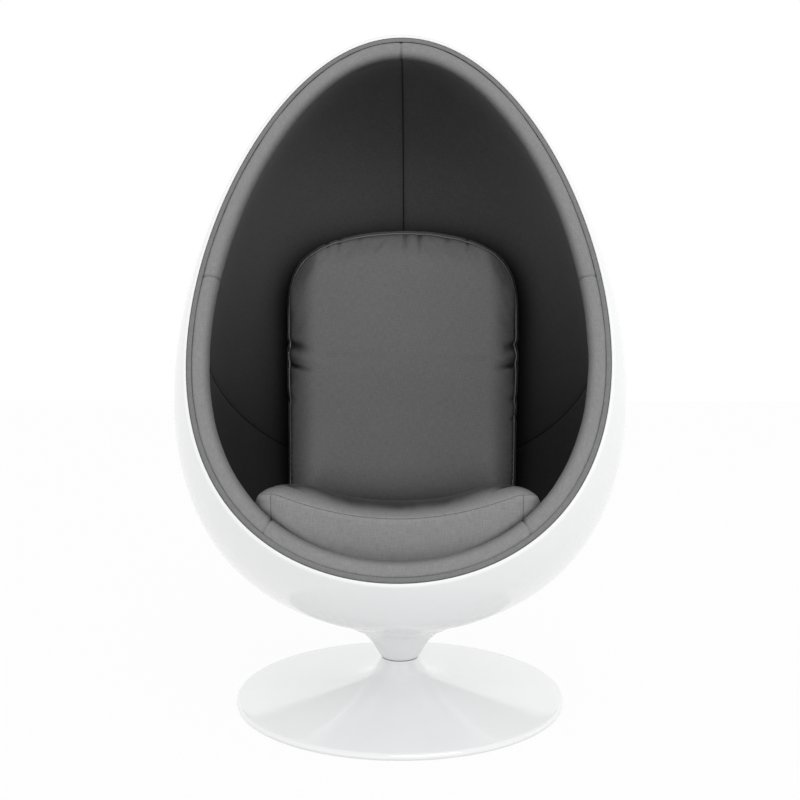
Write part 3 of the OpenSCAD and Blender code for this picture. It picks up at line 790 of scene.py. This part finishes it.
def roll(name, start, end, slant_start=0, slant_end=0):
    """A length of the padded roll; slant is 1 where that end follows the side seams' plane."""
    section = roll_section()
    radius = float(np.linalg.norm(mouth_point((start + end)/2, ROLL_IN, ROLL_DEPTH) - EGG_CENTRE))
    length = abs(end - start)*radius
    middle = np.linspace(ROLL_END_FREE, length - ROLL_END_FREE, int(length/ROLL_STEP))
    s = np.concatenate([ROLL_END_PLACES, middle, length - ROLL_END_PLACES[::-1]])
    pinch = PINCH_DEPTH*(np.exp(-(s/PINCH_W)**2) + np.exp(-((length - s)/PINCH_W)**2))
    slope = math.tan(SEAM_TURN)/radius
    shift = slope*(slant_start*np.exp(-s/SHIFT_REACH)
                   + slant_end*np.exp(-(length - s)/SHIFT_REACH))
    angle = start + (end - start)*s/length
    towards = ROLL_CORE[None] - section
    towards /= np.linalg.norm(towards, axis=1)[:, None]
    places = section[:, None] + pinch[None, :, None]*towards[:, None]
    down = np.where(np.cos(angle) > 0, -1, 1)
    a = angle[None] + down*shift[None]*places[..., 1]
    points = mouth_point(a, places[..., 0], places[..., 1]).transpose(1, 0, 2)
    obj = face_out(grid_object(name + "_cloth", points, wrap=True, first=points[0].mean(0),
                               last=points[-1].mean(0), uv=arc_uv(points, True)))
    co = coordinates(obj)
    # Painted shade: the roll darkens towards its inner side and on its end caps.
    shade = ROLL_SHADE*smooth((section[:, 0] - ROLL_LIT_IN)/(ROLL_IN - ROLL_LIT_IN))
    shade = np.where(section[:, 1] > ROLL_ROUND, ROLL_SHADE, shade)
    painted_shade = np.tile(shade, len(s))
    paint(obj, "painted_shade", np.concatenate([painted_shade, [ROLL_END_SHADE, ROLL_END_SHADE]]))
    swell = sum(gain*waves(co, size, seed) for size, seed, gain in ROLL_SWELLS)
    set_coordinates(obj, co + normals(obj)*swell[:, None])
    dress(obj, cloth_roll, "upholstery", "seat", name)


QUARTER = math.pi/2
roll("roll_upper_right", 0.0, QUARTER, slant_start=1)
roll("roll_upper_left", QUARTER, 2*QUARTER, slant_end=1)
roll("roll_side_left", 2*QUARTER, 3*QUARTER - FRONT_PIECE_ANGLE, slant_start=1)
roll("roll_front", 3*QUARTER - FRONT_PIECE_ANGLE, 3*QUARTER + FRONT_PIECE_ANGLE)
roll("roll_side_right", 3*QUARTER + FRONT_PIECE_ANGLE, 4*QUARTER, slant_end=1)


WELT_COLS = 320
WELT_EDGE = ((0, WELT_T), (0, 0.0012), (0.0004, 0.0004), (0.0013, 0))
WELT_CROWN = 0.0002


def welt():
    """The flat strip between the shell's lip and the roll."""
    angle = 2*math.pi*np.arange(WELT_COLS)/WELT_COLS
    low, high, front = WELT_OUT, WELT_OUT + WELT_W, -WELT_PROUD
    section = [(low + a, front + b) for a, b in WELT_EDGE]
    section += [((low + high)/2, front - WELT_CROWN)]
    section += [(high - a, front + b) for a, b in WELT_EDGE[::-1]]
    points = np.array([mouth_point(angle, a, b) for a, b in section])
    points = points.transpose(1, 0, 2)
    points = np.concatenate([points, points[:1]])
    obj = face_out(grid_object("rim_welt_cloth", points, wrap=True, uv=arc_uv(points, True)))
    dress(obj, cloth_welt, "upholstery", "seat", "rim_welt")


welt()


# Cushions

def square_share(angle, power):
    """Places on a rounded square, squarer for a higher power."""
    c, s = np.cos(angle), np.sin(angle)
    return np.stack([c, s], -1)*((np.abs(c)**power + np.abs(s)**power)**(-1/power))[..., None]


SEAT_MID_Y = (SEAT_REAR - SEAT_FRONT)/2
SEAT_HALF_Y = (SEAT_REAR + SEAT_FRONT)/2
CUSHION_OUT = FABRIC_IN + SOFT_GAP
SEAT_STATIONS = 220
SEAT_TIP_DROP = 0.012
SEAT_TIP_FROM = 0.195
SEAT_SHOULDER = 0.012
SEAT_SHOULDER_X = 0.175
SEAT_SHOULDER_W = 0.06
SEAT_CROWN_POWER = 6
SEAT_REAR_POWER = 3.0
SEAT_FRONT_POWER = 9.0
SEAT_LEAST = SEAT_BOX/5
ROLL_REST_END = 2.3


def seat_seam_z(x, y):
    """Height of the seat cushion's upper seam, which dishes between its ends."""
    dish = SEAT_DISH*(1 - (1 - SEAT_REAR_DISH_SHARE)*(y + SEAT_FRONT)/(2*SEAT_HALF_Y))
    tip = SEAT_TIP_DROP*smooth((np.abs(x) - SEAT_TIP_FROM)/(SEAT_HALF - SEAT_TIP_FROM))
    return SEAT_H - math.tan(SEAT_FALL)*(y + SEAT_FRONT) + dish*(x/SEAT_HALF)**2 - tip


def seat_layer(x, y):
    """Depth of the layer under the seat cushion: the roll near the mouth, then the lining."""
    back = to_mouth(stacked(x, y, bowl_z(x, y, CUSHION_OUT)))[..., 1] + MOUTH_FORWARD
    on_roll = np.clip(ROLL_REST_END - back/ROLL_DEPTH, 0, 1)
    return CUSHION_OUT + (ROLL_IN + SOFT_GAP - CUSHION_OUT)*on_roll


def seat_under_z(x, y):
    """Height of what the seat cushion rests on."""
    bed = SEAT_H - SEAT_BOX - math.tan(SEAT_FALL)*(y + SEAT_FRONT)
    return np.maximum(bed, bowl_z(x, y, seat_layer(x, y)))


def seat_top_z(x, y, share, crown=SEAT_CROWN):
    """Height of the seat cushion's top at a share of the way out to its edge."""
    shoulder = SEAT_SHOULDER*np.exp(-((np.abs(x) - SEAT_SHOULDER_X)/SEAT_SHOULDER_W)**2)
    top = seat_seam_z(x, y) + (crown + shoulder)*(1 - np.minimum(share, 1)**SEAT_CROWN_POWER)
    return np.maximum(top, seat_under_z(x, y) + SEAT_LEAST)


def seat_xy(angle, share):
    q = square_share(angle, np.where(np.sin(angle) > 0, SEAT_REAR_POWER, SEAT_FRONT_POWER))
    return SEAT_HALF*q[..., 0]*share, SEAT_MID_Y + SEAT_HALF_Y*q[..., 1]*share


def seat_ring(share, height_share):
    angle = -2*math.pi*np.arange(SEAT_STATIONS)/SEAT_STATIONS
    x, y = seat_xy(angle, share)
    low, high = seat_under_z(x, y), seat_top_z(x, y, share, SEAT_SIM_CROWN)
    return stacked(x, y, low + (high - low)*height_share)


# Cloth simulation of the cushions
SIM_VOXEL = 0.006
SIM_FRAMES = 20
SIM_PRESSURE = 4.0
SIM_SLACK = 0.015
SIM_TENSION = 15
SIM_BENDING = 0.4
HOLD_LEVELS = 20


def fine_mesh(obj, voxel):
    """Evens the mesh out into small squares."""
    modifier = obj.modifiers.new("even", "REMESH")
    modifier.mode = "VOXEL"
    modifier.voxel_size = voxel
    modifier.use_smooth_shade = True
    baked(obj)


def baked(obj):
    """Applies every modifier."""
    seen = obj.evaluated_get(bpy.context.evaluated_depsgraph_get())
    mesh = bpy.data.meshes.new_from_object(seen)
    obj.modifiers.clear()
    obj.data = mesh
    mesh.polygons.foreach_set("use_smooth", [True]*len(mesh.polygons))


def stuffed(obj, hold, cap, calm):
    """Blows the cushion up as cloth.

    hold and calm give each vertex's share of staying, cap the furthest that one may move.
    """
    fine_mesh(obj, SIM_VOXEL)
    before = coordinates(obj)
    held = hold(before)
    group = obj.vertex_groups.new(name="held")
    for level in range(1, HOLD_LEVELS + 1):
        members = np.flatnonzero(np.round(held*HOLD_LEVELS) == level)
        group.add(members.tolist(), level/HOLD_LEVELS, "REPLACE")
    cloth_sim = obj.modifiers.new("stuffing", "CLOTH")
    rule = cloth_sim.settings
    rule.quality = 5
    rule.tension_stiffness = rule.compression_stiffness = SIM_TENSION
    rule.bending_stiffness = SIM_BENDING
    rule.use_pressure = True
    rule.uniform_pressure_force = SIM_PRESSURE
    rule.shrink_min = -SIM_SLACK
    rule.effector_weights.gravity = 0
    rule.vertex_group_mass = "held"
    cloth_sim.point_cache.frame_end = SIM_FRAMES
    for step in range(1, SIM_FRAMES + 1):
        bpy.context.scene.frame_set(step)
    seen = obj.evaluated_get(bpy.context.evaluated_depsgraph_get())
    after = np.empty(len(before)*3, np.float32)
    seen.data.vertices.foreach_get("co", after)
    obj.modifiers.clear()
    obj.vertex_groups.clear()
    bpy.context.scene.frame_set(1)
    move = after.reshape(-1, 3) - before
    way = np.linalg.norm(move, axis=1)[:, None] + 1e-9
    move *= cap*np.tanh(way/cap)/way*((1 - held)*(1 - calm(before)))[:, None]
    set_coordinates(obj, before + move)
    smoother = obj.modifiers.new("fine", "SUBSURF")
    smoother.levels = smoother.render_levels = 1
    baked(obj)


SEAT_SIM_CROWN = 0.024
SEAT_CAP = 0.009
SEAT_SEAM_END = 0.2100
SEAT_GROOVE = 0.0012
SEAT_GROOVE_W = 0.005
SEAT_END_SEAM_TOP = 0.004
SEAT_SHADE_FROM = 0.001
SEAT_SHADE_W = 0.088

# Rings of each cushion, as shares of its outline and of its thickness
SEAT_TOP_SHARES = (0.1, 0.2, 0.3, 0.4, 0.5, 0.6, 0.7, 0.78, 0.84, 0.89, 0.93, 0.96, 0.985)
SEAT_SIDE_SHARES = ((0.998, 0.995), (1.0, 0.94), (1.002, 0.8), (1.003, 0.6), (1.004, 0.4),
                    (1.003, 0.22), (1.004, 0.1), (1.0, 0.03), (0.985, 0))
BACK_FRONT_SHARES = (0.1, 0.2, 0.3, 0.4, 0.5, 0.6, 0.7, 0.78, 0.85, 0.9, 0.93, 0.955, 0.972)
BACK_SIDE_SHARES = ((0.998, 0.78), (1.006, 0.65), (1.008, 0.5),
                    (1.006, 0.35), (1.0, 0.2), (0.985, 0.05), (0.965, 0))
HIDDEN_SHARES = (0.9, 0.8, 0.6, 0.4, 0.2)

# Where the seat cushion stays in place or hardly swells, in metres and shares
SEAT_HOLD_SEAM_W = 0.006
SEAT_HOLD_REST_W = 0.03
SEAT_HOLD_REAR_FROM = 0.12
SEAT_HOLD_REAR_W = 0.06
SEAT_CALM_SHARE = 0.75
SEAT_CALM_FROM = 0.22
SEAT_CALM_W = 0.05
SEAT_CALM_HALF = 0.22
SEAT_CALM_SIDE_W = 0.03


def seat_held(co):
    """The seat cushion stays where it rests and along its top seam."""
    x, y, z = co.T
    seam = np.exp(-((z - seat_seam_z(x, y))/SEAT_HOLD_SEAM_W)**2)*(y < SEAT_MID_Y)
    rest = smooth((seat_under_z(x, y) + SEAT_HOLD_REST_W - z)/SEAT_HOLD_REST_W)
    rear = smooth((y - SEAT_HOLD_REAR_FROM)/SEAT_HOLD_REAR_W)
    return np.clip(np.maximum.reduce([seam, rest, rear]), 0, 1)


def seat_calm(co):
    """The front panel is taut and hardly swells."""
    x, y, z = co.T
    forward = smooth((-SEAT_CALM_FROM - y)/SEAT_CALM_W)
    inner = smooth((SEAT_CALM_HALF - np.abs(x))/SEAT_CALM_SIDE_W)
    return SEAT_CALM_SHARE*forward*inner


def seat_cushion():
    rings = [seat_ring(share, 1) for share in SEAT_TOP_SHARES]
    rings += [seat_ring(share, height_share) for share, height_share in SEAT_SIDE_SHARES]
    rings += [seat_ring(share, 0) for share in HIDDEN_SHARES]
    crest = (0, SEAT_MID_Y, float(seat_top_z(0.0, SEAT_MID_Y, 0, SEAT_SIM_CROWN)))
    foot = (0, SEAT_MID_Y, float(seat_under_z(0.0, SEAT_MID_Y)))
    obj = grid_object("seat_cushion_cloth", np.array(rings), wrap=True, first=crest, last=foot)
    stuffed(obj, seat_held, SEAT_CAP, seat_calm)
    co = coordinates(obj)
    x, y, z = co.T
    front = y < SEAT_MID_Y
    top_d = np.where(front, z - seat_seam_z(x, y), 1.0)
    end_d = np.where(front & (top_d < SEAT_END_SEAM_TOP), np.abs(x) - SEAT_SEAM_END, 1.0)
    groove = SEAT_GROOVE*(np.exp(-(top_d/SEAT_GROOVE_W)**2) + np.exp(-(end_d/SEAT_GROOVE_W)**2))
    set_coordinates(obj, co - normals(obj)*groove[:, None])
    # Painted shade: the seat's top darkens towards its back, in front of the back cushion.
    painted_shade = np.where(top_d > SEAT_SHADE_FROM, smooth((y + SEAT_FRONT)/SEAT_SHADE_W), 0)
    for name, values in (("seam_top", top_d), ("seam_end", end_d), ("painted_shade", painted_shade)):
        paint(obj, name, values)
    box_uv(obj)
    dress(obj, cloth_seat, "upholstery", "seat", "seat_cushion")


BACK_STATIONS = 220
BACK_TOP_POWER = 6
BACK_LOW_POWER = 14
BACK_DOME_POWER = 4
BACK_DOME_ROUND = 0.6


def seat_rear_share(x, y):
    """Share of the seat cushion's outline at which a place on its rear half lies."""
    across, back = np.abs(x)/SEAT_HALF, np.maximum(0, y - SEAT_MID_Y)/SEAT_HALF_Y
    return (across**SEAT_REAR_POWER + back**SEAT_REAR_POWER)**(1/SEAT_REAR_POWER)


def back_foot(x):
    """Height at which the back cushion stands on the seat cushion."""
    z = np.full(np.shape(x), SEAT_H)
    for _ in range(10):
        y = wall_y(x, z, CUSHION_OUT) - BACK_EDGE_T
        z = seat_top_z(x, y, seat_rear_share(x, y)) + SOFT_GAP
    return z


BACK_MID = (BACK_TOP + float(back_foot(np.array(0.0))))/2
BACK_CAP = 0.012
BACK_SHADE = 0.95
BACK_SHADE_W = 0.042
BACK_CONTACT_W = 0.018
BACK_BEHIND_W = 0.01
BACK_FOOT_STEPS = 41
BACK_FRONT_FACING = 0.3
BACK_FRONT_FACING_W = 0.4
BACK_HOLD_SHARE = 0.9
BACK_HOLD_W_SHARE = 0.25
BACK_CALM_BELOW = 0.66
BACK_CALM_W = 0.16
BACK_SIDE_FROM = 0.17
BACK_SIDE_W = 0.05
BACK_WAVE = 0.0009
BACK_WAVES = {"size": 0.05, "seed": 2.4}
PIPING_R = 0.0016
PIPING_WAVE = 0.0016
PIPING_WAVES = {"size": 0.035, "seed": 5.5}
PIPING_PULL = 0.0035
PIPING_PULL_W = 0.009
PIPING_SHARE = 0.988
PIPING_DEPTH_SHARE = 0.86


def back_xz(angle, share):
    """Places on the back cushion's outline, at a share of the way out to it."""
    q = square_share(angle, np.where(np.sin(angle) > 0, BACK_TOP_POWER, BACK_LOW_POWER))
    x = BACK_HALF*q[..., 0]*np.where(q[..., 1] > 0, 1, 1 + BACK_TAPER_SHARE*q[..., 1])
    upper = BACK_TOP - BACK_MID - BACK_ARCH*q[..., 0]**2
    tall = np.where(q[..., 1] > 0, upper, BACK_MID - back_foot(x))
    return share*x, BACK_MID + share*q[..., 1]*tall


def back_thick(share):
    """Thickness of the back cushion at a share of the way out to its edge."""
    dome = (1 - min(1, share)**BACK_DOME_POWER)**BACK_DOME_ROUND
    return BACK_EDGE_T + (BACK_MID_T - BACK_EDGE_T)*dome


def back_ring(share, depth_share):
    angle = -2*math.pi*np.arange(BACK_STATIONS)/BACK_STATIONS
    x, z = back_xz(angle, share)
    return stacked(x, wall_y(x, z, CUSHION_OUT) - back_thick(share)*depth_share, z)


# Creases of the back cushion: from (x, z) to (x, z), depth at the start, half width, in metres;
# a ridge has a negative depth, and each dies out towards its end

BACK_CREASES = (
    ((-0.243, 0.677), (-0.190, 0.662), 0.0050, 0.0085),
    ((-0.243, 0.634), (-0.185, 0.616), 0.0050, 0.0050),
    ((-0.236, 0.652), (-0.165, 0.633), -0.0022, 0.0070),
    ((-0.160, 0.655), (0.040, 0.650), 0.0006, 0.0080),
    ((0.175, 0.645), (-0.020, 0.650), 0.0006, 0.0080),
    ((0.243, 0.674), (0.215, 0.668), 0.0050, 0.0090),
    ((0.243, 0.633), (0.190, 0.622), 0.0046, 0.0055),
    ((0.238, 0.652), (0.180, 0.634), -0.0022, 0.0070),
    ((0.243, 0.560), (0.222, 0.556), 0.0028, 0.0070),
    ((0.243, 0.520), (0.225, 0.517), 0.0024, 0.0060),
    ((-0.243, 0.560), (-0.226, 0.556), 0.0020, 0.0080),
    ((0.004, 0.918), (0.004, 0.872), 0.0024, 0.0040),
    ((0.037, 0.918), (0.036, 0.862), 0.0028, 0.0042),
    ((0.020, 0.918), (0.020, 0.880), -0.0016, 0.0055),
    ((0.056, 0.918), (0.052, 0.885), -0.0012, 0.0050),
    ((-0.140, 0.905), (-0.136, 0.872), 0.0024, 0.0045),
    ((-0.167, 0.898), (-0.158, 0.870), 0.0020, 0.0045),
    ((-0.095, 0.910), (-0.092, 0.885), 0.0014, 0.0050),
    ((0.143, 0.905), (0.138, 0.872), 0.0024, 0.0045),
    ((0.100, 0.910), (0.098, 0.888), 0.0012, 0.0050),
)
CREASE_GAIN = 1.7
# CREASE_SHADE paints shade into the creases, by their depth.
CREASE_SHADE = 60


def creased(co):
    """How deep the creases go at each point of the back cushion's front."""
    place = co[:, [0, 2]]
    depth = np.zeros(len(co))
    for start, end, deep, half in BACK_CREASES:
        start, end = np.array(start), np.array(end)
        along = end - start
        share = np.clip((place - start) @ along/(along @ along), 0, 1)
        away = np.linalg.norm(place - start - share[:, None]*along, axis=1)
        depth += CREASE_GAIN*deep*(1 - share)*np.exp(-(away/half)**2)
    return depth


def back_held(co):
    """The back cushion stays along its piping and where it rests."""
    x, y, z = co.T
    depth = wall_y(x, z, CUSHION_OUT) - y
    free = smooth((depth - BACK_HOLD_SHARE*BACK_EDGE_T)/(BACK_HOLD_W_SHARE*BACK_EDGE_T))
    return np.clip(1 - free, 0, 1)


def back_calm(co):
    """Low down, pressed by the seat cushion, the back cushion hardly swells."""
    return smooth((BACK_CALM_BELOW - co[:, 2])/BACK_CALM_W)


def back_painted_shade(co, edge):
    """How much shade is painted on the back cushion: behind, where it stands on the seat, and round
    its edge.
    """
    x, y, z = co.T
    behind = smooth((y - wall_y(x, z, CUSHION_OUT) + 0.8*BACK_EDGE_T)/BACK_BEHIND_W)
    across = np.linspace(-BACK_HALF, BACK_HALF, BACK_FOOT_STEPS)
    above = z - np.interp(x, across, back_foot(across))
    contact = np.exp(-np.maximum(above, 0)/BACK_CONTACT_W)
    sides = smooth((np.abs(x) - BACK_SIDE_FROM)/BACK_SIDE_W)
    around = np.exp(-edge/(BACK_SHADE_W*(0.2 + 0.8*sides)))
    return np.maximum.reduce([behind, contact, around])


def back_cushion():
    rings = [back_ring(share, 1) for share in BACK_FRONT_SHARES]
    rings += [back_ring(PIPING_SHARE, PIPING_DEPTH_SHARE)]
    rings += [back_ring(share, depth_share) for share, depth_share in BACK_SIDE_SHARES]
    rings += [back_ring(share, 0) for share in HIDDEN_SHARES]
    wall = float(wall_y(0.0, BACK_MID, CUSHION_OUT))
    obj = grid_object("back_cushion_cloth", np.array(rings), wrap=True,
                      first=(0, wall - BACK_MID_T, BACK_MID), last=(0, wall, BACK_MID))
    stuffed(obj, back_held, BACK_CAP, back_calm)
    co, away = coordinates(obj), normals(obj)
    path = back_ring(PIPING_SHARE, PIPING_DEPTH_SHARE)
    path += PIPING_WAVE*waves(path, **PIPING_WAVES)[:, None]*np.array([1.0, 0.0, 1.0])
    path = snapped(obj, path)
    edge = nearest(path, co)
    pull = PIPING_PULL*np.exp(-(edge/PIPING_PULL_W)**2)
    front_share = smooth((BACK_FRONT_FACING - away[:, 1])/BACK_FRONT_FACING_W)
    crease = creased(co)
    depth = pull + front_share*(crease - BACK_WAVE*waves(co, **BACK_WAVES))
    set_coordinates(obj, co - away*depth[:, None])
    # Painted shade: behind the cushion, where it stands on the seat, round its edge and in its
    # creases.
    painted_shade = back_painted_shade(co, edge) + front_share*np.maximum(crease, 0)*CREASE_SHADE
    paint(obj, "painted_shade", BACK_SHADE*np.clip(painted_shade, 0, 1))
    box_uv(obj)
    dress(obj, cloth_back, "upholstery", "seat", "back_cushion")
    path = snapped(obj, path, 0.5*PIPING_R)
    piping = closed_tube("back_cushion_piping", path, PIPING_R)
    dress(piping, cloth, "upholstery", "seat")


seat_cushion()
back_cushion()


# Camera, floor and light

CAMERA_PLACE = (0.0384, -1.9996, 0.718)
CAMERA_YAW = math.radians(1.1)
CAMERA_PITCH = math.radians(4.07)
CAMERA_LENS = 47.25
CAMERA_SENSOR = 36


def set_camera():
    data = bpy.data.cameras.new("camera")
    data.lens = CAMERA_LENS
    data.sensor_width = CAMERA_SENSOR
    data.sensor_fit = "HORIZONTAL"
    camera = placed("camera", data)
    camera.location = CAMERA_PLACE
    camera.rotation_euler = (math.pi/2 - CAMERA_PITCH, 0, CAMERA_YAW)
    bpy.context.scene.camera = camera


FLOOR_HALF = 8.0
FLOOR_GREY = 0.82
FLOOR_WHITE_SHARE = 0.93
WORLD_LEVEL = 0.95
SCREEN_TOP = 0.375
SCREEN_EDGE = 0.02
MIRROR_HIGH = 0.70
KEY_PLACE = (1.1, -3.1, 2.7)
KEY_SIZE = (3.0, 2.0)
KEY_POWER = 32


def seen_directly(tree):
    """The Light Path node, and one for camera and transmission rays."""
    path = add(tree, "ShaderNodeLightPath")
    rays = path.outputs["Is Camera Ray"], path.outputs["Is Transmission Ray"]
    return path, math_node(tree, "MAXIMUM", *rays)


def floor_material():
    """Pale floor that looks nearly white, also in reflections, and keeps the object's shadow."""
    material, tree, shader = new_material("floor", Roughness=0.9)
    shader.inputs["Base Color"].default_value = (FLOOR_GREY, FLOOR_GREY, FLOOR_GREY, 1)
    glow = add(tree, "ShaderNodeEmission")
    path, direct = seen_directly(tree)
    seen = math_node(tree, "MAXIMUM", direct, path.outputs["Is Glossy Ray"])
    share = math_node(tree, "MULTIPLY", seen, FLOOR_WHITE_SHARE)
    mix = add(tree, "ShaderNodeMixShader")
    tree.links.new(share, mix.inputs[0])
    tree.links.new(shader.outputs[0], mix.inputs[1])
    tree.links.new(glow.outputs[0], mix.inputs[2])
    tree.links.new(mix.outputs[0], tree.nodes["Material Output"].inputs["Surface"])
    return material


def set_floor():
    h = FLOOR_HALF
    mesh = bpy.data.meshes.new("floor")
    mesh.from_pydata([(-h, -h, 0), (h, -h, 0), (h, h, 0), (-h, h, 0)], [], [(0, 1, 2, 3)])
    floor = placed("floor", mesh)
    mesh.materials.append(floor_material())


def set_world():
    """White where seen directly; reflections see a white screen with grey above it."""
    world = bpy.data.worlds.new("studio")
    bpy.context.scene.world = world
    world.use_nodes = True
    tree = world.node_tree
    path, direct = seen_directly(tree)
    glossy = path.outputs["Is Glossy Ray"]
    ground = tree.nodes["Background"]
    ground.inputs["Color"].default_value = (1, 1, 1, 1)
    level = math_node(tree, "MULTIPLY_ADD", glossy, MIRROR_HIGH - WORLD_LEVEL, WORLD_LEVEL)
    tree.links.new(level, ground.inputs["Strength"])
    white = add(tree, "ShaderNodeBackground")
    white.inputs["Color"].default_value = (1, 1, 1, 1)
    white.inputs["Strength"].default_value = 1.0
    ray = add(tree, "ShaderNodeSeparateXYZ")
    tree.links.new(add(tree, "ShaderNodeTexCoord").outputs["Generated"], ray.inputs[0])
    screen = add(tree, "ShaderNodeMapRange")
    tree.links.new(ray.outputs["Z"], screen.inputs["Value"])
    for key, value in (("From Min", SCREEN_TOP), ("From Max", SCREEN_TOP + SCREEN_EDGE),
                       ("To Min", 1.0), ("To Max", 0.0)):
        screen.inputs[key].default_value = value
    mirrored = math_node(tree, "MULTIPLY", glossy, screen.outputs[0])
    seen = math_node(tree, "MAXIMUM", direct, mirrored)
    mix = add(tree, "ShaderNodeMixShader")
    tree.links.new(seen, mix.inputs[0])
    tree.links.new(ground.outputs[0], mix.inputs[1])
    tree.links.new(white.outputs[0], mix.inputs[2])
    tree.links.new(mix.outputs[0], tree.nodes["World Output"].inputs["Surface"])


def area_light(name, place, target, size, power):
    data = bpy.data.lights.new(name, "AREA")
    data.shape = "RECTANGLE"
    data.size, data.size_y = size
    data.energy = power
    light = placed(name, data)
    light.location = place
    light.rotation_euler = (Vector(target) - Vector(place)).to_track_quat("-Z", "Y").to_euler()


CHAIR_MIDDLE = (0, 0, 0.7)
set_camera()
set_floor()
set_world()
area_light("key", KEY_PLACE, CHAIR_MIDDLE, KEY_SIZE, KEY_POWER)
bpy.context.scene.view_settings.view_transform = "Standard"
